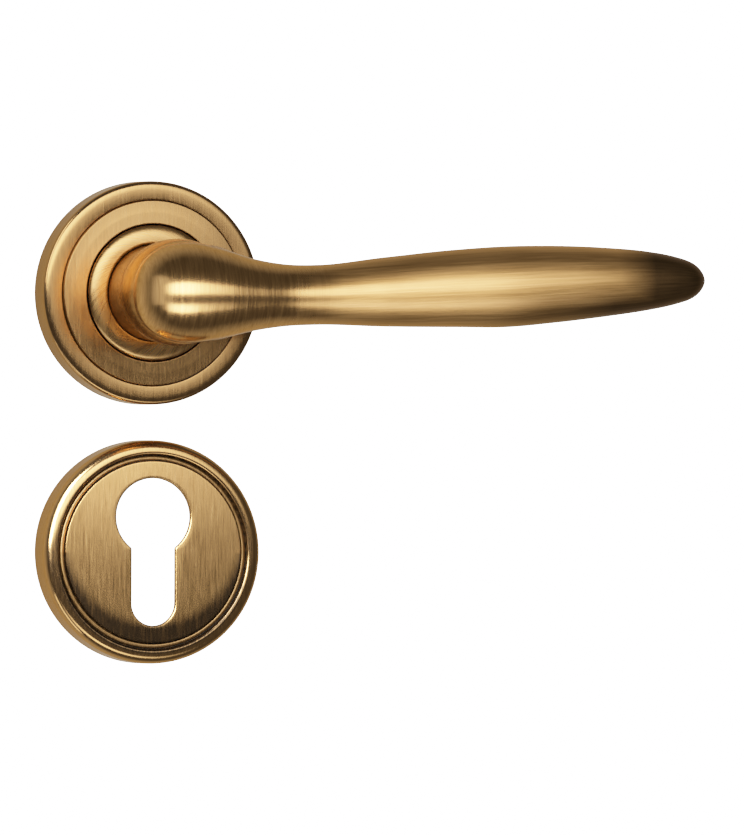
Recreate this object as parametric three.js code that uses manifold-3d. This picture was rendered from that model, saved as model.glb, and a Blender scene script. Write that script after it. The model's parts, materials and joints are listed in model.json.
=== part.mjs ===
// Door lever handle on a round rose, with its matching keyhole escutcheon: one side of a door set.
//
// Millimetres, +Z up. The origin is where the lever's turning axis meets the door's face. The door's
// face is the plane Y = 0, the room is towards -Y and the lever points along +X. "Forward" below is
// the distance out from the door's face, so forward = -Y.

import * as THREE from 'three';
import { mergeVertices } from 'three/addons/utils/BufferGeometryUtils.js';
import Module from 'manifold-3d';

const wasm = await Module();
wasm.setup();

// ---------------------------------------------------------------- driving dimensions

const coverRadius = 25.5;
const coverWall = 1.2;
const coverBoreRadius = coverRadius - coverWall;
const coverBack = 0.3;
const roseFace = 10;
const escutcheonFace = 10.2;
const escutcheonDrop = 59.05;

const baseRadius = 23.4;
const baseFlange = 4.2;
const bossRadius = 18.9;
const bossFront = 8.2;
const cavityRadius = 14.4;
const cavityFront = 7;
const hubRadius = 10.9;
const hubBoreRadius = 9.9;
const hubBack = 3.6;

const screwOffset = 19;
const screwRadius = 1.9;
const screwHoleRadius = 2.2;
const screwHeadRadius = 3.4;
const screwHeadHeight = 2;
const screwPocketRadius = 3.8;
const screwSeat = 3.4;
const roseScrewReach = 20;
const escutcheonScrewReach = 13.5;
const lugRadius = 3.75;
const lugLength = 5;

const snapWireRadius = 0.5;
const snapRingRadius = 23.7;
const snapGrooveRadius = 22.8;
const snapRingForward = 2.5;

const shankRadius = 9;
const shankEnd = 0.3;
const keyRadius = 8.2;
const keyFlat = 7;
const keyShoulder = 2.9;
const clipGrooveRadius = 7.4;
const clipGrooveBack = 0.65;
const clipGrooveFront = 1.45;

const discRadius = 13.9;
const discBack = 1.6;
const discFront = 2.8;
const tabReach = 17.4;
const tabWidth = 5;
const leverTravel = 45;
const stopPinRadius = 1.5;
const stopPinCircle = 16;
const stopPinEnd = 6.4;
const stopClearance = 0.15;
const pocketRadius = 18;
const pocketFront = 3.4;

const springWireRadius = 0.55;
const springRadius = 12.6;
const springBack = 3.65;
const springPitch = 1.14;
const springTurns = 2.25;
const tangHoleRadius = 1.2;

const spindleSide = 7.9;
const spindleBoreSide = 8.2;
const spindleBoreEnd = 29;
const spindleInnerEnd = 28.5;
const spindleProjection = 55;

const grubForward = 18;
const grubRadius = 2.9;
const grubHoleRadius = 3.1;

const collarRadius = 15.4;
const collarBack = 9;
const collarTop = 11.1;
const neckRadius = 11;
const neckFoot = 10.05;

const crownSteps = 6;

const keyholeRadius = 8.75;
const keyholeSlotHalf = 5.15;
const keyholeHeight = 33.6;
const apertureHalfWidth = 12.2;
const apertureHalfHeight = 18.6;

const roundSegments = 40;
const smallSegments = 16;
const cutMargin = 1;

// The lever's body, from its blunt end behind the neck to its tip.
// Each station: along X, forward, height, half height, half thickness.
const leverHeel = -12.9;
const leverStations = [
  [0, 41.2, -0.1, 11.35, 11.2],
  [6.4, 41.4, -0.3, 10.35, 10.7],
  [14.1, 42, -0.6, 8.3, 9.1],
  [21.8, 42.7, -0.7, 7.05, 7.3],
  [29, 43.4, -0.6, 6.8, 6.4],
  [45, 44.8, 0.1, 7.9, 6.2],
  [61, 45.8, 0.9, 8.8, 6.5],
  [73, 46, 1.3, 9.2, 6.7],
  [85, 45.7, 1.9, 8.75, 6.5],
  [97, 45, 2.4, 7.85, 6],
  [107, 44, 2.7, 6.75, 5.2],
  [114, 43.2, 2.8, 5.45, 4.3],
  [118.5, 42.7, 2.8, 3.9, 3.1],
  [121.3, 42.4, 2.8, 0, 0],
];

// ---------------------------------------------------------------- materials

const agedBrass = new THREE.MeshStandardMaterial({ color: 0xb08854, roughness: 0.38, metalness: 1 });
const castZinc = new THREE.MeshStandardMaterial({ color: 0x9a9a96, roughness: 0.6, metalness: 0.9 });
const brightSteel = new THREE.MeshStandardMaterial({ color: 0xb9bcc0, roughness: 0.35, metalness: 1 });
const springSteel = new THREE.MeshStandardMaterial({ color: 0x55585c, roughness: 0.4, metalness: 1 });
const blackSteel = new THREE.MeshStandardMaterial({ color: 0x2c2c2e, roughness: 0.5, metalness: 0.9 });
const nylon = new THREE.MeshStandardMaterial({ color: 0xe6e2d6, roughness: 0.55, metalness: 0 });

// ---------------------------------------------------------------- solids

const radians = THREE.MathUtils.degToRad;

// Merges shared corners, drops triangles with no area and turns every face outwards.
function solidFrom(geometry) {
  geometry.deleteAttribute('normal');
  geometry.deleteAttribute('uv');
  const merged = mergeVertices(geometry);
  const points = merged.attributes.position.array;
  const corner = (i) => new THREE.Vector3().fromArray(points, 3 * i);
  const triangles = [];
  let volume = 0;
  for (let i = 0; i < merged.index.count; i += 3) {
    const [a, b, c] = [0, 1, 2].map((k) => merged.index.getX(i + k));
    if (a === b || b === c || c === a) continue;
    triangles.push([a, b, c]);
    volume += corner(a).dot(corner(b).cross(corner(c)));
  }
  if (volume < 0) triangles.forEach((triangle) => triangle.reverse());
  const triVerts = new Uint32Array(triangles.flat());
  return new wasm.Manifold(new wasm.Mesh({ numProp: 3, vertProperties: points, triVerts }));
}

function geometryFrom(solid) {
  const mesh = solid.getMesh();
  const geometry = new THREE.BufferGeometry();
  geometry.setAttribute('position', new THREE.BufferAttribute(mesh.vertProperties, 3));
  geometry.setIndex(new THREE.BufferAttribute(mesh.triVerts, 1));
  geometry.computeVertexNormals();
  return geometry;
}

// A solid of revolution about the turning axis; each profile point is [radius, forward].
function turned(profile, segments = roundSegments) {
  const points = profile.map(([radius, forward]) => new THREE.Vector2(radius, -forward));
  return solidFrom(new THREE.LatheGeometry(points, segments));
}

function ring(inner, outer, back, front, segments = roundSegments) {
  return turned([[inner, back], [outer, back], [outer, front], [inner, front], [inner, back]], segments);
}

// A round bar that lies along the turning axis, at x and z.
function rod(radius, back, front, x = 0, z = 0, segments = smallSegments) {
  const geometry = new THREE.CylinderGeometry(radius, radius, front - back, segments);
  return solidFrom(geometry).translate([x, -(back + front) / 2, z]);
}

// A flat outline drawn in X and Z, as thick as the way from back to front.
function plate(shape, back, front, curveSegments = smallSegments) {
  const geometry = new THREE.ExtrudeGeometry(shape, {
    depth: front - back,
    bevelEnabled: false,
    curveSegments,
  });
  geometry.translate(0, 0, back);
  geometry.rotateX(Math.PI / 2);
  return solidFrom(geometry);
}

function block(sizeX, sizeForward, sizeZ, x, forward, z) {
  return solidFrom(new THREE.BoxGeometry(sizeX, sizeForward, sizeZ)).translate([x, -forward, z]);
}

// A round wire along a curve.
function wire(curve, radius, steps, sides) {
  const section = new THREE.Shape().absarc(0, 0, radius, 0, 2 * Math.PI);
  const geometry = new THREE.ExtrudeGeometry(section, {
    steps,
    extrudePath: curve,
    curveSegments: sides,
    bevelEnabled: false,
  });
  return solidFrom(geometry);
}

const joined = (first, ...others) => others.reduce((whole, other) => whole.add(other), first);
const cut = (first, ...others) => others.reduce((whole, other) => whole.subtract(other), first);
const polar = (radius, degrees) => [
  radius * Math.cos(radians(degrees)),
  radius * Math.sin(radians(degrees)),
];

// ---------------------------------------------------------------- rose, fixed to the door

const tabHalfAngle = THREE.MathUtils.radToDeg(Math.asin(tabWidth / 2 / stopPinCircle));
const stopGapAngle = THREE.MathUtils.radToDeg((tabWidth / 2 + stopPinRadius + stopClearance) / stopPinCircle);
const tabRestAngle = 180 + leverTravel / 2;
const restStopAngle = tabRestAngle + stopGapAngle;
const downStopAngle = tabRestAngle - leverTravel - stopGapAngle;
const pocketHalfAngle = leverTravel / 2 + stopGapAngle + tabHalfAngle;

const springStartAngle = 20;
const springEndAngle = springStartAngle + 360 * springTurns;
const springFront = springBack + springPitch * springTurns;

// The recess behind the base where the driver disc's tab swings between its two stops.
function stopPocket() {
  const shape = new THREE.Shape();
  const start = radians(180 - pocketHalfAngle);
  const end = radians(180 + pocketHalfAngle);
  shape.moveTo(...polar(cavityRadius - cutMargin, 180 - pocketHalfAngle));
  shape.absarc(0, 0, pocketRadius, start, end, false);
  shape.absarc(0, 0, cavityRadius - cutMargin, end, start, true);
  return plate(shape, -cutMargin, pocketFront);
}

function roseBase() {
  const body = turned([
    [0, 0],
    [baseRadius, 0],
    [baseRadius, snapRingForward - 0.6],
    [snapGrooveRadius, snapRingForward - 0.6],
    [snapGrooveRadius, snapRingForward + 0.6],
    [baseRadius, snapRingForward + 0.6],
    [baseRadius, baseFlange],
    [bossRadius, baseFlange],
    [bossRadius, bossFront - 0.6],
    [bossRadius - 0.6, bossFront],
    [0, bossFront],
  ]);
  const cavity = rod(cavityRadius, -cutMargin, cavityFront, 0, 0, roundSegments);
  const hub = rod(hubRadius, hubBack, bossFront, 0, 0, roundSegments);
  const hubBore = rod(hubBoreRadius, -cutMargin, bossFront + cutMargin, 0, 0, roundSegments);
  const tangHole = rod(tangHoleRadius, 0, bossFront + cutMargin, ...polar(springRadius, springEndAngle));
  let base = cut(joined(cut(body, cavity, stopPocket()), hub), hubBore, tangHole);
  for (const side of [-1, 1]) {
    const z = side * screwOffset;
    base = joined(base, rod(lugRadius, -lugLength, 1, 0, z));
    base = cut(base, rod(screwPocketRadius, screwSeat, bossFront + cutMargin, 0, z));
    base = cut(base, rod(screwHoleRadius, -lugLength - cutMargin, bossFront, 0, z));
  }
  for (const angle of [restStopAngle, downStopAngle]) {
    base = cut(base, rod(stopPinRadius + 0.05, 0, stopPinEnd, ...polar(stopPinCircle, angle)));
  }
  return base;
}

function stopPin(angle) {
  return rod(stopPinRadius, 0.5, stopPinEnd - 0.1, ...polar(stopPinCircle, angle));
}

function bearingBush() {
  return ring(shankRadius + 0.05, hubBoreRadius - 0.05, hubBack + 0.1, bossFront - 0.05);
}

// An open wire ring that sits in the base's groove and grips the inside of the cover.
function snapRing() {
  const openingHalf = 14;
  const points = [];
  const steps = 36;
  for (let i = 0; i <= steps; i += 1) {
    const angle = 90 + openingHalf + ((360 - 2 * openingHalf) * i) / steps;
    const [x, z] = polar(snapRingRadius, angle);
    points.push(new THREE.Vector3(x, -snapRingForward, z));
  }
  return wire(new THREE.CatmullRomCurve3(points), snapWireRadius, 36, 4);
}

// A pan-head wood screw with its thread as sharp ridges; tip is how far it reaches behind the door's face.
function woodScrew(tip) {
  const pitch = 2.2;
  const pointLength = 4;
  const profile = [
    [0, screwSeat + 0.05 + screwHeadHeight],
    [screwHeadRadius - 0.9, screwSeat + 0.05 + screwHeadHeight],
    [screwHeadRadius, screwSeat + screwHeadHeight - 0.7],
    [screwHeadRadius, screwSeat + 0.05],
    [screwRadius, screwSeat + 0.05],
  ];
  for (let forward = screwSeat - 2; forward - pitch > -tip + pointLength; forward -= pitch) {
    profile.push([screwRadius * 0.7, forward]);
    profile.push([screwRadius, forward - pitch / 2]);
  }
  profile.push([screwRadius * 0.7, -tip + pointLength]);
  profile.push([0, -tip]);
  const recessForward = screwSeat + screwHeadHeight - 0.3;
  const across = block(3.6, 1.4, 0.8, 0, recessForward, 0);
  const upright = block(0.8, 1.4, 3.6, 0, recessForward, 0);
  return cut(turned(profile, 14), across, upright);
}

function thrustWasher() {
  return ring(shankRadius + 0.2, 13.5, bossFront + 0.1, collarBack - 0.1);
}

// A rounded crown from the outer edge in: upright at its outer edge and level at its inner one.
function crown(inner, outer, top, drop, power) {
  const points = [];
  for (let k = crownSteps; k >= 0; k -= 1) {
    const turn = (Math.PI / 2) * (k / crownSteps);
    const across = Math.sin(turn) ** (2 / power);
    const up = Math.max(0, Math.cos(turn)) ** (2 / power);
    points.push([inner + (outer - inner) * across, top - drop + drop * up]);
  }
  return points;
}

function roseCover() {
  return turned([
    [coverRadius, coverBack],
    ...crown(21.6, coverRadius, 8.8, 2.2, 3),
    [21.2, 8.5],
    [20.8, 9.6],
    [20.5, roseFace],
    [15.9, roseFace],
    [15.9, roseFace - coverWall],
    [19.6, roseFace - coverWall],
    [19.6, 7.1],
    [coverBoreRadius - 0.9, 6.9],
    [coverBoreRadius, 6.2],
    [coverBoreRadius, coverBack],
    [coverRadius, coverBack],
  ]);
}

// ---------------------------------------------------------------- lever and what turns with it

function collar() {
  return turned([
    [shankRadius + 0.15, collarBack],
    [collarRadius, collarBack],
    ...crown(neckRadius + 0.4, collarRadius, collarTop, 1.1, 2.6),
    [neckRadius + 0.15, collarTop - 0.25],
    [neckRadius + 0.15, neckFoot - 0.05],
    [shankRadius + 0.15, neckFoot - 0.05],
    [shankRadius + 0.15, collarBack],
  ]);
}

// Value of one column of the lever's stations at x, on a smooth curve through them.
function stationValue(x, column) {
  const last = leverStations.length - 1;
  let i = 0;
  while (i < last - 1 && leverStations[i + 1][0] < x) i += 1;
  const squared = column >= 3;
  const value = (k) => leverStations[k][column] ** (squared ? 2 : 1);
  const slope = (k) => {
    if (k === 0) return 0;
    const low = Math.max(k - 1, 0);
    const high = Math.min(k + 1, last);
    return (value(high) - value(low)) / (leverStations[high][0] - leverStations[low][0]);
  };
  const span = leverStations[i + 1][0] - leverStations[i][0];
  const t = (x - leverStations[i][0]) / span;
  const result = (2 * t ** 3 - 3 * t ** 2 + 1) * value(i)
    + (t ** 3 - 2 * t ** 2 + t) * span * slope(i)
    + (3 * t ** 2 - 2 * t ** 3) * value(i + 1)
    + (t ** 3 - t ** 2) * span * slope(i + 1);
  return squared ? Math.sqrt(Math.max(result, 0)) : result;
}

// The lever's oval section at x: its centre's forward and height, its half height and half thickness.
function leverSection(x) {
  if (x >= 0) return [1, 2, 3, 4].map((column) => stationValue(x, column));
  const [, forward, height, halfHeight, halfThickness] = leverStations[0];
  const round = (1 - Math.abs(x / leverHeel) ** 2.3) ** (1 / 2.3);
  return [forward, height, halfHeight * round, halfThickness * round];
}

// The lever's body, from rings of points with one point at each end.
function leverBody() {
  const rows = 28;
  const around = 20;
  const tip = leverStations.at(-1)[0];
  const points = [];
  const index = [];
  const endPoint = (x) => {
    const [forward, height] = leverSection(x);
    points.push(x, -forward, height);
  };
  endPoint(leverHeel);
  for (let row = 1; row < rows; row += 1) {
    const along = (1 - Math.cos((Math.PI * row) / rows)) / 2;
    const x = leverHeel + (tip - leverHeel) * along;
    const [forward, height, halfHeight, halfThickness] = leverSection(x);
    for (let k = 0; k < around; k += 1) {
      const angle = (2 * Math.PI * k) / around;
      points.push(x, -forward - halfThickness * Math.cos(angle), height + halfHeight * Math.sin(angle));
    }
  }
  endPoint(tip);
  const ringStart = (row) => 1 + (row - 1) * around;
  const endIndex = ringStart(rows);
  for (let k = 0; k < around; k += 1) {
    const next = (k + 1) % around;
    index.push(0, ringStart(1) + k, ringStart(1) + next);
    index.push(endIndex, ringStart(rows - 1) + next, ringStart(rows - 1) + k);
    for (let row = 1; row < rows - 1; row += 1) {
      const [a, b] = [ringStart(row), ringStart(row + 1)];
      index.push(a + k, b + k, b + next, a + k, b + next, a + next);
    }
  }
  const geometry = new THREE.BufferGeometry();
  geometry.setAttribute('position', new THREE.Float32BufferAttribute(points, 3));
  geometry.setIndex(index);
  return solidFrom(geometry);
}

function leverHandle() {
  const neck = turned([
    [0, shankEnd],
    [keyRadius, shankEnd],
    [keyRadius, clipGrooveBack],
    [clipGrooveRadius, clipGrooveBack],
    [clipGrooveRadius, clipGrooveFront],
    [keyRadius, clipGrooveFront],
    [keyRadius, keyShoulder],
    [shankRadius, keyShoulder],
    [shankRadius, neckFoot],
    [11.05, neckFoot],
    [10.9, 14],
    [10.95, 18],
    [11.3, 22],
    [11.94, 25.7],
    [11.75, 25.9],
    [12, 26.2],
    [12.05, 30],
    [11.9, 34],
    [11.3, 38],
    [9.6, 42],
    [0, 44],
  ]);
  const flats = [-1, 1].map((side) =>
    block(4, keyShoulder, 20, side * (keyFlat + 2), keyShoulder / 2, 0));
  const bore = block(spindleBoreSide, spindleBoreEnd + cutMargin, spindleBoreSide, 0,
    (spindleBoreEnd - cutMargin) / 2, 0);
  return cut(joined(neck, leverBody()), ...flats, bore, grubHole());
}

function grubBar(radius, low, high, segments = smallSegments) {
  const geometry = new THREE.CylinderGeometry(radius, radius, high - low, segments);
  geometry.rotateX(Math.PI / 2);
  return solidFrom(geometry).translate([0, -grubForward, (low + high) / 2]);
}

const grubHole = () => grubBar(grubHoleRadius, -14, -3);

// A headless screw with a hexagon socket, driven up into the spindle from under the neck.
function grubScrew() {
  const socketSides = 6;
  const body = grubBar(grubRadius, -10.4, -spindleSide / 2 - 0.1);
  return cut(body, grubBar(1.7, -11, -7.4, socketSides));
}

function spindle() {
  const half = spindleSide / 2;
  const chamfer = 0.5;
  const shape = new THREE.Shape();
  shape.moveTo(half - chamfer, -half);
  shape.lineTo(half, -half + chamfer);
  shape.lineTo(half, half - chamfer);
  shape.lineTo(half - chamfer, half);
  shape.lineTo(-half + chamfer, half);
  shape.lineTo(-half, half - chamfer);
  shape.lineTo(-half, -half + chamfer);
  shape.lineTo(-half + chamfer, -half);
  return plate(shape, -spindleProjection, spindleInnerEnd);
}

// The plate keyed to the shank: its tab meets the stops, and it carries the spring's moving end.
function driverDisc() {
  const disc = rod(discRadius, discBack, discFront, 0, 0, roundSegments);
  const tab = block(tabReach - 10, discFront - discBack, tabWidth, (tabReach + 10) / 2,
    (discBack + discFront) / 2, 0).rotate([0, -tabRestAngle, 0]);
  const round = rod(keyRadius + 0.15, 0, keyShoulder + cutMargin, 0, 0, roundSegments);
  const flats = block(2 * (keyFlat + 0.15), 6, 20, 0, 2, 0);
  const tangHole = rod(tangHoleRadius, 0, keyShoulder, ...polar(springRadius, springStartAngle));
  return cut(joined(disc, tab), round.intersect(flats), tangHole);
}

// The retaining ring: an open ring with an eye at each end, in the groove at the shank's end.
function circlip() {
  const inner = clipGrooveRadius + 0.1;
  const outer = 9.4;
  const [back, front] = [clipGrooveBack + 0.05, clipGrooveFront - 0.05];
  const opening = 16;
  const start = radians(270 + opening);
  const end = radians(270 - opening + 360);
  const shape = new THREE.Shape();
  shape.absarc(0, 0, outer, start, end, false);
  shape.absarc(0, 0, inner, end, start, true);
  let clip = plate(shape, back, front, 20);
  for (const angle of [270 - opening, 270 + opening]) {
    const [x, z] = polar(9.9, angle);
    clip = cut(joined(clip, rod(1.5, back, front, x, z)), rod(0.6, 0, 3, x, z, 12));
  }
  return clip;
}

// The torsion spring round the hub. Each end bends along the axis: one into the driver disc, one into
// the base.
function returnSpring() {
  const points = [];
  const bend = 0.9;
  const onCoil = (angle, forward) => {
    const [x, z] = polar(springRadius, angle);
    return new THREE.Vector3(x, -forward, z);
  };
  points.push(onCoil(springStartAngle, discBack + 0.2));
  points.push(onCoil(springStartAngle, discFront));
  points.push(onCoil(springStartAngle + 0.6, springBack - bend * 0.3));
  const perTurn = 16;
  const leadAngle = 9;
  const sweep = springEndAngle - springStartAngle - 2 * leadAngle;
  const steps = Math.round(perTurn * springTurns);
  for (let i = 0; i <= steps; i += 1) {
    const angle = springStartAngle + leadAngle + (sweep * i) / steps;
    points.push(onCoil(angle, springBack + ((springFront - springBack) * i) / steps));
  }
  points.push(onCoil(springEndAngle - 0.6, springFront + bend * 0.3));
  points.push(onCoil(springEndAngle, cavityFront + 0.2));
  points.push(onCoil(springEndAngle, bossFront - 0.2));
  const curve = new THREE.CatmullRomCurve3(points, false, 'centripetal');
  return wire(curve, springWireRadius, 64, 4);
}

// ---------------------------------------------------------------- escutcheon

// The keyhole's outline for a profile cylinder: a round above a narrower slot with a round foot.
function keyholeShape() {
  const top = keyholeHeight / 2;
  const roundCentre = top - keyholeRadius;
  const footCentre = -top + keyholeSlotHalf;
  const shoulder = Math.asin(keyholeSlotHalf / keyholeRadius);
  const shape = new THREE.Shape();
  shape.absarc(0, roundCentre, keyholeRadius, -Math.PI / 2 + shoulder, 1.5 * Math.PI - shoulder, false);
  shape.absarc(0, footCentre, keyholeSlotHalf, -Math.PI, 0, false);
  return shape;
}

function apertureShape() {
  const centre = apertureHalfHeight - apertureHalfWidth;
  const shape = new THREE.Shape();
  shape.absarc(0, centre, apertureHalfWidth, 0, Math.PI, false);
  shape.absarc(0, -centre, apertureHalfWidth, Math.PI, 2 * Math.PI, false);
  return shape;
}

function escutcheonCover() {
  const shell = turned([
    [0, escutcheonFace],
    [20.3, escutcheonFace],
    [20.6, 9.9],
    [20.85, 9],
    [21.2, 9],
    [21.9, 9.85],
    ...crown(22.2, coverRadius, 10, 3, 4).reverse(),
    [coverRadius, coverBack],
    [coverBoreRadius, coverBack],
    [coverBoreRadius, 6.2],
    [coverBoreRadius - 0.7, 7.3],
    [20.6, 7.3],
    [19.5, escutcheonFace - coverWall],
    [0, escutcheonFace - coverWall],
  ]);
  return cut(shell, plate(keyholeShape(), 0, escutcheonFace + cutMargin));
}

function escutcheonBase() {
  const disc = turned([
    [0, 0],
    [baseRadius, 0],
    [baseRadius, snapRingForward - 0.6],
    [snapGrooveRadius, snapRingForward - 0.6],
    [snapGrooveRadius, snapRingForward + 0.6],
    [baseRadius, snapRingForward + 0.6],
    [baseRadius, baseFlange],
    [0, baseFlange],
  ]);
  const aperture = plate(apertureShape(), -cutMargin, baseFlange + cutMargin);
  let base = cut(disc, aperture);
  for (const side of [-1, 1]) {
    const x = side * screwOffset;
    base = cut(base, rod(screwPocketRadius, screwSeat, baseFlange + cutMargin, x));
    base = cut(base, rod(screwHoleRadius, -cutMargin, baseFlange, x));
  }
  return base;
}

// ---------------------------------------------------------------- assembly

const doorSet = new THREE.Group();
const rose = new THREE.Group();
const escutcheon = new THREE.Group();
escutcheon.position.z = -escutcheonDrop;
doorSet.add(rose, escutcheon);

function addPiece(group, name, solid, material, x = 0, z = 0) {
  const mesh = new THREE.Mesh(geometryFrom(solid), material);
  mesh.name = name;
  mesh.position.set(x, 0, z);
  group.add(mesh);
}

addPiece(rose, 'rose_cover', roseCover(), agedBrass);
addPiece(rose, 'rose_base', roseBase(), castZinc);
addPiece(rose, 'rose_snap_ring', snapRing(), springSteel);
addPiece(rose, 'bearing_bush', bearingBush(), nylon);
addPiece(rose, 'stop_pin_rest', stopPin(restStopAngle), brightSteel);
addPiece(rose, 'stop_pin_down', stopPin(downStopAngle), brightSteel);
addPiece(rose, 'rose_screw_top', woodScrew(roseScrewReach), brightSteel, 0, screwOffset);
addPiece(rose, 'rose_screw_bottom', woodScrew(roseScrewReach), brightSteel, 0, -screwOffset);

addPiece(rose, 'lever_handle', leverHandle(), agedBrass);
addPiece(rose, 'neck_collar', collar(), agedBrass);
addPiece(rose, 'thrust_washer', thrustWasher(), nylon);
addPiece(rose, 'driver_disc', driverDisc(), brightSteel);
addPiece(rose, 'circlip', circlip(), springSteel);
addPiece(rose, 'return_spring', returnSpring(), springSteel);
addPiece(rose, 'spindle', spindle(), brightSteel);
addPiece(rose, 'grub_screw', grubScrew(), blackSteel);

addPiece(escutcheon, 'escutcheon_cover', escutcheonCover(), agedBrass);
addPiece(escutcheon, 'escutcheon_base', escutcheonBase(), castZinc);
addPiece(escutcheon, 'escutcheon_snap_ring', snapRing(), springSteel);
addPiece(escutcheon, 'escutcheon_screw_left', woodScrew(escutcheonScrewReach), brightSteel, -screwOffset);
addPiece(escutcheon, 'escutcheon_screw_right', woodScrew(escutcheonScrewReach), brightSteel, screwOffset);

export default doorSet;
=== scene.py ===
"""Door lever handle on a round rose, with its matching keyhole escutcheon, in satin aged brass.

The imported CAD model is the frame. The lever, its collar and the two covers are rebuilt here with fine
surfaces; the pieces inside keep their CAD meshes. The pieces are drawn in millimetres and turned into
metres by MM, and the studio is in metres. "Forward" is the distance out from the door's face, so
forward = -Y. Azimuths are in degrees from straight in front of the door.
"""

import json
import math

import bmesh
import bpy
import numpy as np
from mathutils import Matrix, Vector


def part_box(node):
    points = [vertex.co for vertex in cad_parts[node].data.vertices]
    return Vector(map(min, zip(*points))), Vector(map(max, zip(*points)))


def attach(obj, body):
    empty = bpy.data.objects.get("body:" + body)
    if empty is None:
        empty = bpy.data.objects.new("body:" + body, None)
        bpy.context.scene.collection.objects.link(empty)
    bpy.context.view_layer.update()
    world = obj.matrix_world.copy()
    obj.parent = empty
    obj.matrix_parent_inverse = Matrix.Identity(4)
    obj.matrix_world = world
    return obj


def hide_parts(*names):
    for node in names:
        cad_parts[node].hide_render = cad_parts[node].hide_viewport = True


MM = 0.001
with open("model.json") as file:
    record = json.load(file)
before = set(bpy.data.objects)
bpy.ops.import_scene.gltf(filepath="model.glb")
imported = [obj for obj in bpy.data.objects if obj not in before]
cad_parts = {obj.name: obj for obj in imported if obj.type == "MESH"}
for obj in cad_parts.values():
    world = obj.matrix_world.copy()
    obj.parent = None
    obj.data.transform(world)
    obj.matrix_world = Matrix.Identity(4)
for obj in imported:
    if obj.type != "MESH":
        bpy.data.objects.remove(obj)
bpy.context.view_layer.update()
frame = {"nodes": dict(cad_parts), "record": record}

# The two covers and the steps of their surfaces, in millimetres. Radii are from each cover's own axis.
ESCUTCHEON_Z = sum(corner[2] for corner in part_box("escutcheon_cover")) / 2 / MM
COVER_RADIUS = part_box("rose_cover")[1][0] / MM
ROSE_FACE = -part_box("rose_cover")[0][1] / MM
ESCUTCHEON_FACE = -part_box("escutcheon_cover")[0][1] / MM
COVER_BACK = 0.3
COVER_WALL = 1.2
GROOVE_FLOOR = 8.4
DISC_EDGE = 20.7
RIM_INNER = 21.9
TURNED_STEPS = 256
FILLET_STEPS = 5
DOME_RADIUS = 450.0
DISC_STEPS = 8
CROWN_STEPS = 24
# A flat beside a fillet has a ring of points this far from it, so that its shading stays flat.
GUARD = 0.12

# The camera, lights and floor, in metres.
VIEW_AZIMUTH = -16
CAMERA_DISTANCE = 5.0
FRAME_HEIGHT = 0.1906
FRAME_CENTRE_ACROSS = 0.0525
FRAME_CENTRE_HEIGHT = -0.0284
LIGHTS_AIM = Vector((0.03, 0, -0.02))
HANDLE_ABOVE_FLOOR = 1.05
FILM_WHITE = 5.0


# ---------------------------------------------------------------- mesh helpers

def new_object(name, points, faces):
    """A mesh object made from its points and faces."""
    mesh = bpy.data.meshes.new(name)
    mesh.from_pydata([tuple(p) for p in points], [], faces)
    mesh.update()
    made = bpy.data.objects.new(name, mesh)
    bpy.context.scene.collection.objects.link(made)
    return made


def shade_smooth(piece):
    """Shades every face of a piece smoothly."""
    piece.data.polygons.foreach_set("use_smooth", [True] * len(piece.data.polygons))
    piece.data.update()


def face_outwards(piece):
    """Turns every face of a closed piece to point out of it."""
    mesh = bmesh.new()
    mesh.from_mesh(piece.data)
    bmesh.ops.recalc_face_normals(mesh, faces=mesh.faces)
    mesh.to_mesh(piece.data)
    mesh.free()


def set_attribute(piece, name, values):
    """Stores one number for each point, for the materials to read."""
    attribute = piece.data.attributes.new(name, "FLOAT", "POINT")
    attribute.data.foreach_set("value", np.asarray(values, dtype=np.float32))


def set_vector_attribute(piece, name, values):
    """Stores one vector for each point, for the materials to read."""
    attribute = piece.data.attributes.new(name, "FLOAT_VECTOR", "POINT")
    attribute.data.foreach_set("vector", np.asarray(values, dtype=np.float32).ravel())


def rounded(corners):
    """A closed profile with its corners rounded. Each corner is (radius, forward, fillet, patina)."""
    result = []
    count = len(corners)
    for i, (radius, forward, fillet, patina_and_painted_shade) in enumerate(corners):
        here = np.array([radius, forward])
        before = np.array(corners[i - 1][:2]) - here
        after = np.array(corners[(i + 1) % count][:2]) - here
        if fillet == 0:
            result.append((radius, forward, patina_and_painted_shade))
            continue
        along_a = before / np.linalg.norm(before)
        along_b = after / np.linalg.norm(after)
        half = math.acos(float(np.clip(along_a @ along_b, -1, 1))) / 2
        reach = fillet / math.tan(half)
        centre = here + (along_a + along_b) / np.linalg.norm(along_a + along_b) * fillet / math.sin(half)
        start = here + along_a * reach - centre
        end = here + along_b * reach - centre
        if np.linalg.norm(before) > reach + 3 * GUARD:
            result.append((*(here + along_a * (reach + GUARD)), patina_and_painted_shade))
        for k in range(FILLET_STEPS + 1):
            t = k / FILLET_STEPS
            total = math.pi - 2 * half
            point = (start * math.sin((1 - t) * total) + end * math.sin(t * total)) / math.sin(total)
            result.append((*(centre + point), patina_and_painted_shade))
        if np.linalg.norm(after) > reach + 3 * GUARD:
            result.append((*(here + along_b * (reach + GUARD)), patina_and_painted_shade))
    return result


def shell(name, angles, loops, height=0.0):
    """A closed shell from loops round the turning axis, the last joined to the first.

    Each loop is (radii, forward, patina), with one radius for each angle. height is the centre's.
    """
    points = []
    patina_and_painted_shade = []
    for radii, forward, dirt_and_painted_shade in loops:
        for radius, angle in zip(radii, angles):
            across = radius * math.cos(angle)
            up = height + radius * math.sin(angle)
            points.append((across * MM, -forward * MM, up * MM))
            patina_and_painted_shade.append(dirt_and_painted_shade)
    count = len(angles)
    faces = []
    for i in range(len(loops)):
        a = i * count
        b = (i + 1) % len(loops) * count
        for k in range(count):
            n = (k + 1) % count
            faces.append((a + k, a + n, b + n, b + k))
    piece = new_object(name, points, faces)
    set_attribute(piece, "patina_and_painted_shade", patina_and_painted_shade)
    face_outwards(piece)
    shade_smooth(piece)
    return piece


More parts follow.
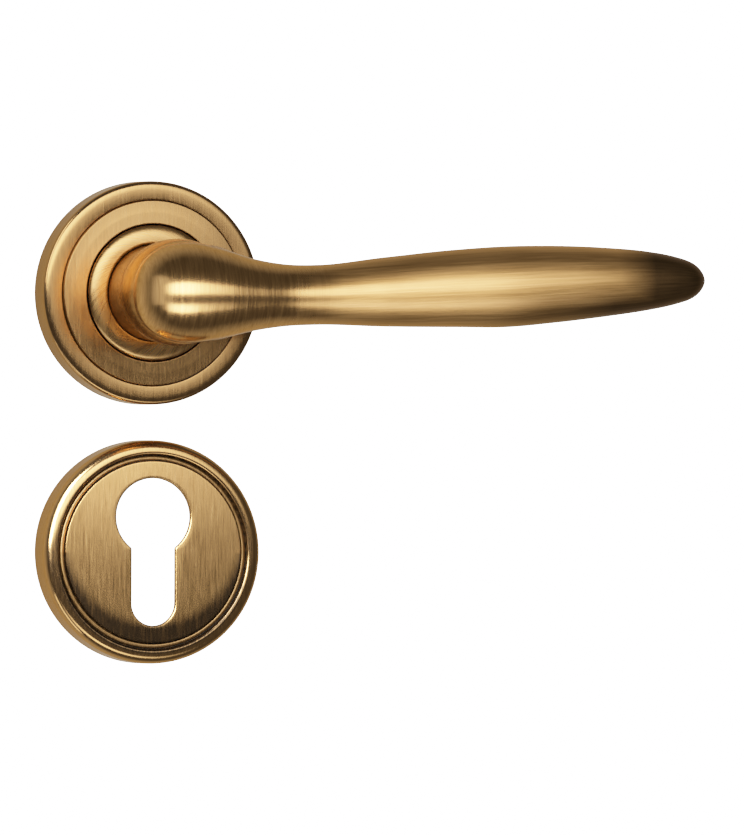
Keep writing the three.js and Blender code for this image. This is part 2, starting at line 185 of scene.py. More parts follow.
def polish_rim(piece, height, start, full):
    """Marks how far handling has polished a cover's rim, from nothing at radius start to all at full."""
    radii = [Vector((point.co.x / MM, point.co.z / MM - height)).length for point in piece.data.vertices]
    set_attribute(piece, "polish", [min(max((radius - start) / (full - start), 0), 1) for radius in radii])


def turned(name, corners, height=0.0):
    """A closed shell turned from one profile."""
    angles = [2 * math.pi * k / TURNED_STEPS for k in range(TURNED_STEPS)]
    loops = [([radius] * TURNED_STEPS, forward, dirt_and_painted_shade) for radius, forward, dirt_and_painted_shade in rounded(corners)]
    return shell(name, angles, loops, height)


# ---------------------------------------------------------------- covers and collar

def crown(inner, outer, top, drop, power):
    """A rounded crown from the outer edge in, upright at its outer edge and level at its inner one."""
    points = []
    for k in range(CROWN_STEPS, -1, -1):
        turn = math.pi / 2 * k / CROWN_STEPS
        across = math.sin(turn) ** (2 / power)
        up = max(math.cos(turn), 0) ** (2 / power)
        points.append((inner + (outer - inner) * across, top - drop + drop * up, 0, 0.0))
    return points


def rose_cover():
    """The rose's shell: a crowned rim, a fine groove and a raised, slightly domed face round the collar."""
    inner = COVER_RADIUS - COVER_WALL
    bore = 15.75
    rim_top = 8.8
    groove_floor = rim_top - 0.5
    face_inside = ROSE_FACE - COVER_WALL
    step_inside = 19.6
    piece = turned("rose_cover_shell", [
        (COVER_RADIUS, COVER_BACK, 0.15, 0.2),
        *crown(21.6, COVER_RADIUS, rim_top, 2.0, 5.5),
        (21.35, rim_top - 0.02, 0.03, 0.1),
        (21.32, groove_floor, 0.0, 1.0),
        (21.17, groove_floor, 0.0, 1.0),
        (21.0, ROSE_FACE - 0.32, 0.15, 0.1),
        (18.4, ROSE_FACE - 0.2, 25.0, 0.0),
        (bore, ROSE_FACE - 0.12, 0.15, 0.0),
        (bore, face_inside, 0.1, 1.0),
        (step_inside, face_inside, 0.1, 0.3),
        (step_inside, 7.1, 0.3, 0.3),
        (inner, 6.9, 0.6, 0.3),
        (inner, COVER_BACK, 0.1, 0.3),
    ])
    polish_rim(piece, 0.0, 23.6, 24.6)
    return piece


def keyhole_radius(angle, grow):
    """How far the keyhole's edge is from the escutcheon's centre in that direction; grow widens it."""
    half_height = 16.8
    round_radius = 8.75
    slot_half = 5.15
    round_centre = half_height - round_radius
    foot_centre = slot_half - half_height
    round_radius += grow
    slot_half += grow
    across = math.cos(angle)
    up = math.sin(angle)

    def ray_to_circle(centre, radius):
        inside = radius ** 2 - (centre * across) ** 2
        return centre * up + math.sqrt(inside) if inside > 0 else 0.0

    reach = ray_to_circle(round_centre, round_radius)
    to_foot = ray_to_circle(foot_centre, slot_half)
    to_wall = slot_half / abs(across) if abs(across) > 1e-9 else 1e9
    slot = to_foot if up < 0 and to_wall * up < foot_centre else 0.0
    if up <= 0.3 and to_wall * up >= foot_centre:
        slot = to_wall if to_wall * up < round_centre else 0.0
    # a soft maximum rounds the inner corner between the round and the slot
    sharp = 6.0
    big = max(reach, slot)
    small = min(reach, slot)
    return big + math.log1p(math.exp(-sharp * (big - small))) / sharp if small > 0 else big


def keyhole_angles():
    """Directions spread along the keyhole's edge rather than evenly round its centre."""
    count = TURNED_STEPS * 1.5
    along_edge = 0.6
    fine = np.linspace(0, 2 * math.pi, 7201)
    radii = np.array([keyhole_radius(a, 0) for a in fine])
    points = np.stack([radii * np.cos(fine), radii * np.sin(fine)], 1)
    lengths = np.concatenate([[0], np.cumsum(np.linalg.norm(np.diff(points, axis=0), axis=1))])
    # some of the spacing stays even round the centre, for the round rim
    mixed = lengths / lengths[-1] * along_edge + fine / fine[-1] * (1 - along_edge)
    return np.interp(np.arange(count) / count, mixed, fine).tolist()


def escutcheon_rim():
    """The escutcheon's profile from the disc's edge over both grooves and the rim, round to its back."""
    inner = COVER_RADIUS - COVER_WALL
    face = ESCUTCHEON_FACE
    return rounded([
        (DISC_EDGE - 0.4, face, 0.0, 0.0),
        (DISC_EDGE - 0.05, face, 0.06, 0.0),
        (DISC_EDGE - 0.02, 9.5, 0.0, 1.0),
        (DISC_EDGE, GROOVE_FLOOR, 0.0, 1.0),
        (20.95, GROOVE_FLOOR, 0.0, 1.0),
        (21.0, 9.0, 0.0, 0.7),
        (21.15, 9.1, 0.0, 0.5),
        (RIM_INNER - 0.1, 9.1, 0.0, 0.5),
        (RIM_INNER, GROOVE_FLOOR, 0.0, 1.0),
        (22.25, GROOVE_FLOOR, 0.0, 1.0),
        (22.28, 9.75, 0.0, 1.0),
        *reversed(crown(22.45, COVER_RADIUS, 10, 3.4, 2.9)),
        (COVER_RADIUS, COVER_BACK, 0.15, 0.2),
        (inner, COVER_BACK, 0.1, 0.3),
        (inner, 7.2, 0.6, 0.3),
        (20.6, 7.3, 0.3, 0.3),
        (19.5, face - COVER_WALL, 0.0, 0.3),
    ])


def escutcheon_cover():
    """The escutcheon's shell: a beaded rim, two deep grooves and a domed disc with the keyhole."""
    face = ESCUTCHEON_FACE
    keyhole_fillet = 0.35
    disc_outer = 19.9
    angles = keyhole_angles()
    rim = [([radius] * len(angles), forward, dirt_and_painted_shade) for radius, forward, dirt_and_painted_shade in escutcheon_rim()]
    disc = []
    for k in range(1, DISC_STEPS + 1):
        t = k / DISC_STEPS
        radii = [keyhole_radius(a, keyhole_fillet) * (1 - t) + disc_outer * t for a in angles]
        disc.append((radii, face, 0.0))
    hole = []
    for k in range(FILLET_STEPS + 1):
        turn = math.pi / 2 * k / FILLET_STEPS
        grow = keyhole_fillet * (1 - math.cos(turn))
        forward = face - keyhole_fillet + keyhole_fillet * math.sin(turn)
        hole.append(([keyhole_radius(a, grow) for a in angles], forward, 0.15))
    back = ([keyhole_radius(a, 0) for a in angles], face - COVER_WALL, 0.6)
    piece = shell("escutcheon_shell", angles, [back, *hole, *disc, *rim], ESCUTCHEON_Z)
    paint_escutcheon_shade(piece)
    dome_disc(piece)
    polish_rim(piece, ESCUTCHEON_Z, RIM_INNER, 22.3)
    return piece


def paint_escutcheon_shade(piece):
    """Paints shade into the colour: a dark crescent low on the disc and a dark inner half of the rim below
    it.
    """
    painted_shade = []
    for point in piece.data.vertices:
        up = point.co.z / MM - ESCUTCHEON_Z
        radius = math.hypot(point.co.x / MM, up)
        # painted shade: a dark crescent low on the disc and the inner half of the rim below it, darker
        # towards the bottom
        dark = 0.0
        if up < 0 and radius < DISC_EDGE:
            dark = (radius - 0.25 * (12 + up) - 16) / 3.0
        elif up < 0 and RIM_INNER < radius:
            dark = (23.5 - radius) / 0.7 * min(-up / 12, 1)
        painted_shade.append(min(max(dark, 0), 1))
    set_attribute(piece, "painted_shade", painted_shade)


def dome_disc(piece):
    """Bends the disc, front and back, into a shallow dome."""
    disc_back = ESCUTCHEON_FACE - COVER_WALL - 0.1
    for point in piece.data.vertices:
        radius = math.hypot(point.co.x / MM, point.co.z / MM - ESCUTCHEON_Z)
        if -point.co.y / MM > disc_back and radius < DISC_EDGE + 0.02:
            point.co.y += radius ** 2 / (2 * DOME_RADIUS) * MM


def collar():
    """The crowned ring round the foot of the neck."""
    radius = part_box("neck_collar")[1][0] / MM
    back = 9.0
    seat = 10.0
    bore = 9.15
    seat_radius = 11.12
    return turned("collar_ring", [
        (bore, back, 0.1, 0.5),
        (radius, back, 0.1, 1.0),
        *crown(11.3, radius, 11.1, 1.1, 2.6),
        (seat_radius, 10.9, 0.05, 0.8),
        (seat_radius, seat, 0.1, 0.9),
        (bore, seat, 0.1, 0.9),
    ])


# ---------------------------------------------------------------- lever

# Along X, forward, height, half height, half thickness, from the middle of the elbow to the tip.
STATIONS = np.array([
    (0, 41.2, -0.1, 11.35, 11.2),
    (6.4, 41.4, -0.3, 10.35, 10.7),
    (14.1, 42, -0.6, 8.3, 9.1),
    (21.8, 42.7, -0.7, 7.05, 7.3),
    (29, 43.4, -0.6, 6.8, 6.4),
    (45, 44.8, 0.1, 7.9, 6.2),
    (61, 45.8, 0.9, 8.8, 6.5),
    (73, 46, 1.3, 9.2, 6.7),
    (85, 45.7, 1.9, 8.75, 6.5),
    (97, 45, 2.4, 7.85, 6),
    (107, 44, 2.7, 6.75, 5.2),
    (114, 43.2, 2.8, 5.45, 4.3),
    (118.5, 42.7, 2.8, 3.9, 3.1),
    (121.3, 42.4, 2.8, 0, 0),
])
HEEL = -12.9
HEEL_BLUNTNESS = 2.3

# Radius and forward of the neck, from the collar up into the elbow.
NECK = np.array([
    (10.0, 11.0),
    (14.0, 10.85),
    (18.0, 10.95),
    (22.0, 11.3),
    (25.6, 11.85),
    (30.0, 12.05),
    (34.0, 11.9),
    (38.0, 11.3),
    (42.0, 9.6),
    (44.0, 7.0),
])
NECK_RING = 25.9
VOXEL = 0.45
SETTLE_ROUNDS = 6
LONGEST_MOVE = 0.4


def hermite(xs, ys, x):
    """A smooth curve through points, level at its first one."""
    slopes = np.gradient(ys, xs)
    slopes[0] = 0
    i = np.clip(np.searchsorted(xs, x, side="right") - 1, 0, len(xs) - 2)
    span = xs[i + 1] - xs[i]
    t = (x - xs[i]) / span
    return (
        (2 * t ** 3 - 3 * t ** 2 + 1) * ys[i]
        + (t ** 3 - 2 * t ** 2 + t) * span * slopes[i]
        + (3 * t ** 2 - 2 * t ** 3) * ys[i + 1]
        + (t ** 3 - t ** 2) * span * slopes[i + 1]
    )


def lever_sections(x):
    """Forward, height, half height squared and half thickness squared of the oval at each x.

    The squares go below nothing beyond either end, so that the field is smooth there.
    """
    xs = STATIONS[:, 0]
    ahead = np.clip(x, 0, xs[-1])
    forward = hermite(xs, STATIONS[:, 1], ahead)
    height = hermite(xs, STATIONS[:, 2], ahead)
    high2 = hermite(xs, STATIONS[:, 3] ** 2, ahead)
    thick2 = hermite(xs, STATIONS[:, 4] ** 2, ahead)
    back = np.clip(-x / -HEEL, 0, 1.5)
    round_off = 1 - back ** HEEL_BLUNTNESS
    signed = np.sign(round_off) * np.abs(round_off) ** (2 / HEEL_BLUNTNESS)
    past_tip = np.clip(x - xs[-1], 0, None)
    high2 = np.where(x < 0, STATIONS[0, 3] ** 2 * signed, high2) - 8.0 * past_tip
    thick2 = np.where(x < 0, STATIONS[0, 4] ** 2 * signed, thick2) - 6.0 * past_tip
    return forward, height, high2, thick2


def body_field(p):
    """Below nothing inside the lever's elbow and grip, above it outside."""
    forward, height, high2, thick2 = lever_sections(p[:, 0])
    ratio = np.clip(high2, 0.5, None) / np.clip(thick2, 0.5, None)
    return ratio * (-p[:, 1] - forward) ** 2 + (p[:, 2] - height) ** 2 - high2


def neck_field(p):
    """Below nothing inside the neck, with its fine groove and step, and above it outside."""
    forward = -p[:, 1]
    radius = np.hypot(p[:, 0], p[:, 2])
    wall = hermite(NECK[:, 0], NECK[:, 1], np.clip(forward, NECK[0, 0], NECK[-1, 0]))
    groove = 0.28 * np.exp(-(((forward - NECK_RING) / 0.22) ** 2))
    step = 0.12 / (1 + np.exp(-(forward - NECK_RING) / 0.1))
    side = radius - (wall - groove + step)
    top = forward - NECK[-1, 0]
    foot = NECK[0, 0] - forward
    return np.maximum(side, np.maximum(top, foot))


def gradient(field, p, step=0.01):
    """A field's slope at each point."""
    result = np.empty_like(p)
    for axis in range(3):
        ahead = p.copy()
        behind = p.copy()
        ahead[:, axis] += step
        behind[:, axis] -= step
        result[:, axis] = (field(ahead) - field(behind)) / (2 * step)
    return result


def body_distance(p):
    """Roughly how far each point is from the body's surface, in millimetres."""
    slope = np.linalg.norm(gradient(body_field, p), axis=1)
    return body_field(p) / np.clip(slope, 1.0, None)


def handle_field(p):
    """The neck and the lever's body joined: a crease towards the heel, a wide fillet inside the elbow."""
    body = body_distance(p)
    neck = neck_field(p)
    inside = 1 / (1 + np.exp(-(p[:, 0] - 5.0) / 1.6))
    blend = 0.25 + 4.5 * inside
    h = np.clip(0.5 + 0.5 * (body - neck) / blend, 0, 1)
    return body * (1 - h) + neck * h - blend * h * (1 - h)


def rough_handle():
    """A closed mesh near the handle's surface: the neck's bar and the body's ovals, voxelled into one."""
    points = []
    faces = []
    around = 48
    along = 70
    end_gap = 0.06
    thinnest = 0.01

    def tube(rings):
        start = len(points)
        for ring in rings:
            points.extend(ring)
        for i in range(len(rings) - 1):
            for k in range(around):
                n = (k + 1) % around
                a = start + i * around
                faces.append((a + k, a + n, a + around + n, a + around + k))
        faces.append(tuple(start + k for k in range(around))[::-1])
        faces.append(tuple(start + (len(rings) - 1) * around + k for k in range(around)))

    turns = [2 * math.pi * k / around for k in range(around)]
    tip = STATIONS[-1, 0]
    closer_at_ends = 0.5 - 0.5 * np.cos(np.linspace(end_gap, math.pi - end_gap, along))
    rings = []
    for x in HEEL + (tip - HEEL) * closer_at_ends:
        forward, height, high2, thick2 = (float(v[0]) for v in lever_sections(np.array([x])))
        high = math.sqrt(max(high2, thinnest))
        thick = math.sqrt(max(thick2, thinnest))
        rings.append([(x, -forward - thick * math.cos(a), height + high * math.sin(a)) for a in turns])
    tube(rings)
    rings = []
    for forward, radius in NECK:
        rings.append([(radius * math.cos(a), -forward, radius * math.sin(a)) for a in turns])
    tube(rings)
    piece = new_object("lever_grip", points, faces)
    face_outwards(piece)
    remesh = piece.modifiers.new("voxels", "REMESH")
    remesh.mode = "VOXEL"
    remesh.voxel_size = VOXEL
    bpy.context.view_layer.objects.active = piece
    bpy.ops.object.modifier_apply(modifier=remesh.name)
    return piece


def settle(p):
    """Moves points onto the handle's exact surface and gives the surface's direction at each."""
    for _ in range(SETTLE_ROUNDS):
        slope = gradient(handle_field, p)
        size2 = np.clip((slope ** 2).sum(1), 0.05, None)
        move = -(handle_field(p) / size2)[:, None] * slope
        length = np.linalg.norm(move, axis=1)[:, None]
        p += move * np.clip(LONGEST_MOVE / np.clip(length, 1e-9, None), None, 1)
    normals = gradient(handle_field, p)
    normals /= np.linalg.norm(normals, axis=1)[:, None]
    return normals


def mark_lever(piece, p, normals):
    """Stores the directions of the brushing, the patina at the neck's groove and foot, and painted shade on
    the neck, tip and underside.
    """
    forward, height, _, _ = lever_sections(p[:, 0])
    around = np.arctan2(p[:, 2] - height, -p[:, 1] - forward)
    set_vector_attribute(piece, "grain", np.stack([p[:, 0], -p[:, 1], around * 8], 1))
    ring = np.exp(-(((-p[:, 1] - NECK_RING) / 0.25) ** 2))
    foot = np.clip(1 - (-p[:, 1] - NECK[0, 0]) / 0.6, 0, 1)
    on_neck = np.clip((1.2 - neck_field(p)) / 1.2, 0, 1)
    # painted shade: the lower neck is darkened in colour, more towards the collar
    painted_shading = 0.55 * np.clip((28 + p[:, 1]) / 14, 0, 1)
    set_attribute(piece, "patina_and_painted_shade", on_neck * np.maximum(np.maximum(ring, foot), painted_shading))
    # painted shade: the tip and the downward-facing underside of the grip are darkened in colour
    tip = np.clip((p[:, 0] - 99) / 9, 0, 1)
    under = np.clip((p[:, 0] - 58) / 40, 0, 1) * np.clip((-normals[:, 2] - 0.1) / 0.5, 0, 1)
    set_attribute(piece, "painted_shade", 0.85 * np.maximum(tip, under))


def lever():
    """The whole handle: neck, elbow and grip."""
    piece = rough_handle()
    mesh = piece.data
    p = np.empty(len(mesh.vertices) * 3)
    mesh.vertices.foreach_get("co", p)
    p = p.reshape(-1, 3)
    normals = settle(p)
    mesh.vertices.foreach_set("co", (p * MM).ravel())
    mesh.update()
    shade_smooth(piece)
    mesh.normals_split_custom_set_from_vertices([tuple(n) for n in normals])
    mark_lever(piece, p, normals)
    return piece


# ---------------------------------------------------------------- materials

class Nodes:
    """A small helper that builds the node tree of a material, a light or the world."""

    def __init__(self, owner):
        owner.use_nodes = True
        self.owner = owner
        self.tree = owner.node_tree

    def set(self, socket, value):
        """Links a socket to another one, or gives it a plain value."""
        if isinstance(value, bpy.types.NodeSocket):
            self.tree.links.new(value, socket)
        else:
            socket.default_value = value

    def add(self, kind, inputs=(), **settings):
        """Makes a node with its settings, then links or sets its inputs."""
        node = self.tree.nodes.new(kind)
        for key, value in settings.items():
            setattr(node, key, value)
        for key, value in dict(inputs).items():
            self.set(node.inputs[key], value)
        return node

    def math(self, operation, a, b=0.0, clamp=False):
        node = self.add("ShaderNodeMath", operation=operation, use_clamp=clamp)
        self.set(node.inputs[0], a)
        self.set(node.inputs[1], b)
        return node.outputs[0]

    def mix(self, factor, a, b):
        """A blend of two colours."""
        return self.add("ShaderNodeMix", {0: factor, 6: a, 7: b}, data_type="RGBA").outputs[2]

    def blend(self, factor, a, b):
        """A blend of two numbers."""
        return self.add("ShaderNodeMix", {0: factor, 2: a, 3: b}, data_type="FLOAT").outputs[0]

    def ramp(self, factor, low, high, low_to=0.0, high_to=1.0):
        """The range low to high, stretched to low_to to high_to and cut off at its ends."""
        return self.add("ShaderNodeMapRange", {
            "Value": factor, "From Min": low, "From Max": high, "To Min": low_to, "To Max": high_to,
        }).outputs[0]

    def noise(self, vector, scale, detail=2.0, roughness=0.5):
        return self.add("ShaderNodeTexNoise", {
            "Vector": vector, "Scale": scale, "Detail": detail, "Roughness": roughness,
        }).outputs["Fac"]

    def stretched(self, vector, scale):
        """A place scaled differently in each direction, which turns noise into brush lines."""
        return self.add("ShaderNodeMapping", {"Vector": vector, "Scale": scale}).outputs[0]

    def position(self):
        """The place on the piece, in metres."""
        return self.add("ShaderNodeTexCoord").outputs["Object"]

    def attribute(self, name, output="Fac"):
        """A number or a vector stored on the piece's points."""
        return self.add("ShaderNodeAttribute", attribute_name=name).outputs[output]


def material_nodes(name):
    """A new material's node tree."""
    return Nodes(bpy.data.materials.new(name))


def finish_material(nodes, colour, roughness, height=None, bump=0.1, metallic=0.0):
    """Connects a material's shader and gives the material back."""
    shader = nodes.tree.nodes["Principled BSDF"]
    shader.inputs["Metallic"].default_value = metallic
    nodes.set(shader.inputs["Base Color"], colour)
    nodes.set(shader.inputs["Roughness"], roughness)
    if height is not None:
        relief = nodes.add("ShaderNodeBump", {"Height": height, "Strength": bump, "Distance": BUMP_DEPTH})
        nodes.set(shader.inputs["Normal"], relief.outputs[0])
    return nodes.owner


BRASS = (0.50, 0.26, 0.08, 1)
BRASS_PALE = (0.74, 0.41, 0.15, 1)
BRASS_BROWN = (0.33, 0.17, 0.055, 1)
EDGE_TINT = (0.62, 0.45, 0.25, 1)
# the dark colour of patina in hollows, also used for painted shade
PATINA_AND_PAINTED_SHADE_COLOUR = (0.016, 0.010, 0.004, 1)
BUMP_DEPTH = 0.00005


def aged_brass(nodes, fine, coarse, rough=0.27, bump=0.25, painted_shade=None, rougher=None, brown=(0.0, 0.22)):
    """Satin brass from fine and coarse noise values along its brushing.

    painted_shade darkens broad areas with painted shade, rougher is added to the roughness, and brown is
    the least and the most of the cloudy brown tone.
    """
    lines = nodes.math("ADD", nodes.math("MULTIPLY", fine, 0.6), nodes.math("MULTIPLY", coarse, 0.4))
    tone = nodes.mix(nodes.ramp(lines, 0.35, 0.65), BRASS, BRASS_PALE)
    position = nodes.position()
    cloud = nodes.noise(position, 45.0, 3.0)
    tone = nodes.mix(nodes.ramp(cloud, 0.42, 0.75, *brown), tone, BRASS_BROWN)
    if painted_shade is not None:
        # painted shade darkens the colour
        tone = nodes.mix(painted_shade, tone, PATINA_AND_PAINTED_SHADE_COLOUR)
    # patina in hollows, which on the lever's neck also carries painted shade
    dirt_and_painted_shade = nodes.attribute("patina_and_painted_shade")
    speckle = nodes.noise(position, 900.0, 2.0)
    dirt_and_painted_shade = nodes.math("MULTIPLY", dirt_and_painted_shade, nodes.ramp(speckle, 0.2, 0.6, 0.75, 1.0), clamp=True)
    tone = nodes.mix(dirt_and_painted_shade, tone, PATINA_AND_PAINTED_SHADE_COLOUR)
    satin = nodes.ramp(lines, 0.3, 0.7, rough - 0.05, rough + 0.06)
    roughness = nodes.math("ADD", satin, nodes.math("MULTIPLY", dirt_and_painted_shade, 0.3))
    if rougher is not None:
        roughness = nodes.math("ADD", roughness, rougher)
    shader = nodes.tree.nodes["Principled BSDF"]
    shader.inputs["Specular Tint"].default_value = EDGE_TINT
    shader.inputs["Coat Weight"].default_value = 0.4
    shader.inputs["Coat Roughness"].default_value = 0.22
    return finish_material(nodes, tone, roughness, lines, bump, metallic=1.0)


def upright_brass(name, painted_shading=False, brown=(0.0, 0.22)):
    """Brushed up and down, as on the two covers."""
    nodes = material_nodes(name)
    position = nodes.position()
    fine = nodes.noise(nodes.stretched(position, (4600, 4600, 190)), 1.0, 3.0, 0.6)
    coarse = nodes.noise(nodes.stretched(position, (2500, 2500, 110)), 1.0, 2.0)
    painted_shade = None
    if painted_shading:
        # painted shade from its attribute, broken into streaks along the brushing, darkens the colour
        dark = nodes.attribute("painted_shade")
        streaks = nodes.ramp(coarse, 0.3, 0.7, -0.25, 0.25)
        painted_shade = nodes.math("MULTIPLY", nodes.ramp(nodes.math("ADD", dark, streaks), 0.1, 1.0), 0.9)
    smoother = nodes.math("MULTIPLY", nodes.attribute("polish"), -0.09)
    return aged_brass(nodes, fine, coarse, rough=0.23, painted_shade=painted_shade, rougher=smoother, brown=brown)


def turned_brass(name):
    """Brushed round the axis, as on the collar."""
    nodes = material_nodes(name)
    split = nodes.add("ShaderNodeSeparateXYZ", {"Vector": nodes.position()})
    x = split.outputs["X"]
    z = split.outputs["Z"]
    radius = nodes.math("SQRT", nodes.math("ADD", nodes.math("POWER", x, 2.0), nodes.math("POWER", z, 2.0)))
    slant = nodes.math("MULTIPLY", nodes.math("ADD", x, z), 0.35)
    across = nodes.math("ADD", nodes.math("MULTIPLY", radius, 0.7), slant)
    along = nodes.math("MULTIPLY", nodes.math("SUBTRACT", x, z), 0.04)
    vector = nodes.add("ShaderNodeCombineXYZ", {"X": across, "Y": along}).outputs[0]
    fine = nodes.noise(vector, 4200.0, 3.0, 0.6)
    coarse = nodes.noise(vector, 1100.0, 2.0)
    return aged_brass(nodes, fine, coarse)


def lever_brass(name):
    """Brushed round the elbow and along the grip, from the grain attribute in millimetres."""
    nodes = material_nodes(name)
    grain = nodes.attribute("grain", "Vector")
    along_x = nodes.add("ShaderNodeSeparateXYZ", {"Vector": grain}).outputs["X"]
    wander = nodes.math("MULTIPLY", nodes.noise(grain, 0.15, 1.0), 12.0)
    grip = nodes.ramp(nodes.math("ADD", along_x, wander), 26.0, 42.0)
    round_fine = nodes.noise(nodes.stretched(grain, (3.4, 0.5, 0.12)), 1.0, 3.0, 0.6)
    round_coarse = nodes.noise(nodes.stretched(grain, (1.1, 0.2, 0.05)), 1.0, 2.0)
    long_fine = nodes.noise(nodes.stretched(grain, (0.07, 0.3, 2.8)), 1.0, 3.0, 0.6)
    long_coarse = nodes.noise(nodes.stretched(grain, (0.04, 0.2, 1.3)), 1.0, 2.0)
    fine = nodes.blend(grip, round_fine, long_fine)
    coarse = nodes.blend(grip, round_coarse, long_coarse)
    rougher = nodes.math("MULTIPLY", grip, 0.2)
    # painted shade on the tip and underside of the grip
    painted_shade = nodes.attribute("painted_shade")
    return aged_brass(nodes, fine, coarse, rough=0.2, bump=0.45, rougher=rougher, painted_shade=painted_shade)


def plain_finish(name, colour, rough, scale=600.0, bump=0.15, metallic=1.0):
    """A finely grained metal or nylon with a slightly cloudy colour."""
    nodes = material_nodes(name)
    position = nodes.position()
    grains = nodes.noise(position, scale, 4.0, 0.6)
    cloud = nodes.noise(position, 70.0, 2.0)
    dark = tuple(0.7 * c for c in colour[:3]) + (1,)
    tone = nodes.mix(nodes.ramp(cloud, 0.3, 0.7), dark, colour)
    roughness = nodes.ramp(grains, 0.3, 0.7, rough - 0.06, rough + 0.08)
    return finish_material(nodes, tone, roughness, grains, bump, metallic)


def dress_cad_nodes():
    """Gives each CAD node the material of its slot in the record."""
    finishes = {
        "zinc_casting": plain_finish("cast_zinc", (0.16, 0.16, 0.155, 1), 0.6, 900.0, 0.4),
        "zinc_plated_steel": plain_finish("plated_steel", (0.55, 0.56, 0.58, 1), 0.3),
        "spring_steel": plain_finish("spring_steel", (0.16, 0.16, 0.17, 1), 0.32),
        "black_steel": plain_finish("black_steel", (0.03, 0.03, 0.032, 1), 0.4),
        "nylon": plain_finish("nylon", (0.75, 0.72, 0.64, 1), 0.45, 300.0, 0.05, 0.0),
        "aged_brass": upright_brass("cad_brass"),
    }
    slots = {part["node"]: part["material_slot"] for part in frame["record"]["subparts"]}
    for name, node in frame["nodes"].items():
        node.data.materials.clear()
        node.data.materials.append(finishes[slots[name]])


# ---------------------------------------------------------------- studio

def camera():
    """A long lens at the height of the set, a little to its left."""
    azimuth = math.radians(VIEW_AZIMUTH)
    right = Vector((math.cos(azimuth), math.sin(azimuth), 0))
    away = Vector((math.sin(azimuth), -math.cos(azimuth), 0))
    data = bpy.data.cameras.new("camera")
    data.sensor_width = 36
    data.lens = data.sensor_width * CAMERA_DISTANCE / FRAME_HEIGHT
    data.clip_end = 100
    made = bpy.data.objects.new("camera", data)
    centre = right * FRAME_CENTRE_ACROSS + Vector((0, 0, FRAME_CENTRE_HEIGHT))
    made.location = centre + away * CAMERA_DISTANCE
    made.rotation_mode = "QUATERNION"
    made.rotation_quaternion = (-away).to_track_quat("-Z", "Y")
    bpy.context.scene.collection.objects.link(made)
    bpy.context.scene.camera = made


def soften(light):
    """Fades a light from its middle to its left and right edges, as a softbox does."""
    nodes = Nodes(light)
    place = nodes.add("ShaderNodeNewGeometry").outputs["Parametric"]
    across = nodes.add("ShaderNodeSeparateXYZ", {0: place}).outputs["X"]
    off_middle = nodes.math("SUBTRACT", nodes.math("MULTIPLY", across, 2.0), 1.0)
    kept = nodes.math("SUBTRACT", 1.0, nodes.math("MULTIPLY", off_middle, off_middle))
    nodes.set(nodes.tree.nodes["Emission"].inputs["Strength"], nodes.math("POWER", kept, 3.0))


def light_group(name, *pieces):
    """The pieces that a light falls on, when it falls on only some."""
    group = bpy.data.collections.new(name)
    for piece in pieces:
        group.objects.link(piece)
    return group


def softbox(name, azimuth, elevation, distance, width, height, radiance, only=None):
    """A soft light that faces the object from that direction and isn't seen itself."""
    a = math.radians(azimuth)
    e = math.radians(elevation)
    back = Vector((math.sin(a) * math.cos(e), -math.cos(a) * math.cos(e), math.sin(e)))
    data = bpy.data.lights.new(name, "AREA")
    data.shape = "RECTANGLE"
    data.size = width
    data.size_y = height
    data.energy = radiance * math.pi * width * height
    soften(data)
    made = bpy.data.objects.new(name, data)
    made.location = LIGHTS_AIM + back * distance
    made.rotation_mode = "QUATERNION"
    made.rotation_quaternion = (-back).to_track_quat("-Z", "Y")
    made.visible_camera = False
    made.light_linking.receiver_collection = only
    bpy.context.scene.collection.objects.link(made)


def surroundings():
    """White to the eye; to the metal, a dim room in front and a bright, slightly warm one behind."""
    world = bpy.data.worlds.new("studio")
    bpy.context.scene.world = world
    nodes = Nodes(world)
    direction = nodes.add("ShaderNodeTexCoord").outputs["Generated"]
    behind = nodes.add("ShaderNodeSeparateXYZ", {0: direction}).outputs["Y"]
    room = nodes.tree.nodes["Background"]
    nodes.set(room.inputs["Strength"], nodes.ramp(behind, -0.05, 0.75, 0.10, 0.85))
    nodes.set(room.inputs["Color"], nodes.mix(behind, (1, 0.98, 0.95, 1), (1, 0.9, 0.72, 1)))
    seen = nodes.add("ShaderNodeBackground", {"Color": (1, 1, 1, 1), "Strength": FILM_WHITE})
    by_camera = nodes.add("ShaderNodeLightPath").outputs["Is Camera Ray"]
    mixed = nodes.add("ShaderNodeMixShader", {0: by_camera, 1: room.outputs[0], 2: seen.outputs[0]})
    nodes.set(nodes.tree.nodes["World Output"].inputs["Surface"], mixed.outputs[0])


def floor():
    """A wide pale floor, far below a handle on a door, which the metal doesn't mirror."""
    radius = 4.0
    steps = 96
    turns = [2 * math.pi * k / steps for k in range(steps)]
    points = [(radius * math.cos(turn), radius * math.sin(turn), -HANDLE_ABOVE_FLOOR) for turn in turns]
    made = new_object("studio_floor", points, [tuple(range(steps))])
    nodes = material_nodes("pale_floor")
    cloud = nodes.noise(nodes.position(), 3.0)
    tone = nodes.mix(cloud, (0.8, 0.8, 0.79, 1), (0.84, 0.84, 0.83, 1))
    made.data.materials.append(finish_material(nodes, tone, nodes.ramp(cloud, 0, 1, 0.7, 0.8)))
    made.visible_glossy = False
    made.visible_shadow = False
    return made


def film_tones():
    """A film's tone curve: strong highlights roll off to cream instead of clipping to yellow."""
    view = bpy.context.scene.view_settings
    view.view_transform = "Standard"
    view.use_curve_mapping = True
    mapping = view.curve_mapping
    mapping.white_level = (FILM_WHITE, FILM_WHITE, FILM_WHITE)
    curve = mapping.curves[3]
    for light in (0.25, 0.5, 0.9, 1.4, 2.1, 3.2):
        curve.points.new(light / FILM_WHITE, 1 - math.exp(-light))
    mapping.update()


# ---------------------------------------------------------------- assembly

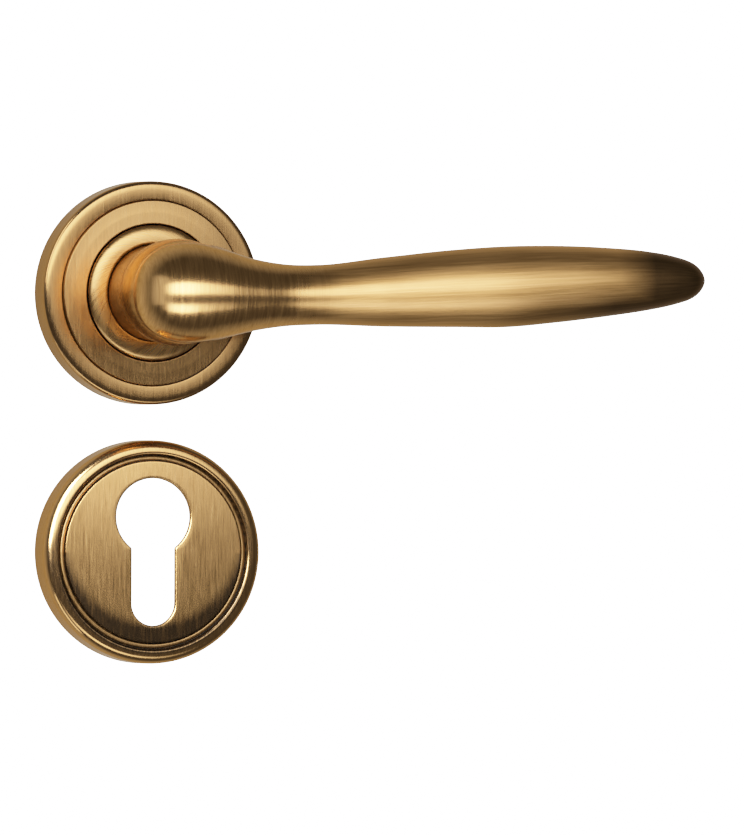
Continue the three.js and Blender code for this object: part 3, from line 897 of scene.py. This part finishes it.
def place(piece, body, node, material):
    """Gives a rebuilt piece its material and its body, in place of its CAD node."""
    piece.data.materials.append(material)
    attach(piece, body)
    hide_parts(node)
    return piece


def studio_lights(rose, escutcheon, ring, grip):
    """Softboxes for each group of pieces: name, azimuth, elevation, distance, width, height, radiance."""
    covers = light_group("covers", rose, escutcheon, ring)
    rose_alone = light_group("rose_alone", rose)
    escutcheon_alone = light_group("escutcheon_alone", escutcheon)
    handle = light_group("handle", grip)
    studio = light_group("studio", floor())
    inner_pieces = light_group("inner_pieces", *frame["nodes"].values())
    softbox("cover_key_light", -10, 15.5, 2.4, 5.3, 1.05, 5.8, covers)
    softbox("key_light", -10, 9.5, 2.4, 5.3, 1.12, 9.5, handle)
    softbox("low_light", -14, -37, 2.4, 4.6, 0.84, 8.0, handle)
    softbox("cover_low_light", -14, -46, 2.4, 4.6, 0.7, 3.5, covers)
    softbox("escutcheon_side_light", -46, 24, 1.6, 1.5, 1.2, 60.0, escutcheon_alone)
    softbox("rose_side_light", -62, 28, 1.6, 1.0, 1.2, 8.0, rose_alone)
    softbox("low_side_light", -94, -44, 1.2, 0.7, 0.6, 3.0, covers)
    softbox("left_light", -62, 5, 1.6, 3.0, 1.8, 1.0, handle)
    softbox("floor_light", -20, 70, 3.0, 5.0, 5.0, 9.0, studio)
    softbox("inner_top_light", -20, 70, 3.0, 5.0, 5.0, 1.6, inner_pieces)
    softbox("inner_back_light", 150, 20, 3.0, 3.0, 2.0, 4.0, inner_pieces)


camera()
dress_cad_nodes()
rose_brass = upright_brass("rose_brass", brown=(0.5, 0.9))
rose = place(rose_cover(), "rose_cap", "rose_cover", rose_brass)
escutcheon_brass = upright_brass("escutcheon_brass", painted_shading=True)
escutcheon = place(escutcheon_cover(), "escutcheon_cap", "escutcheon_cover", escutcheon_brass)
ring = place(collar(), "lever", "neck_collar", turned_brass("collar_brass"))
grip = place(lever(), "lever", "lever_handle", lever_brass("lever_brass"))

surroundings()
studio_lights(rose, escutcheon, ring, grip)
film_tones()
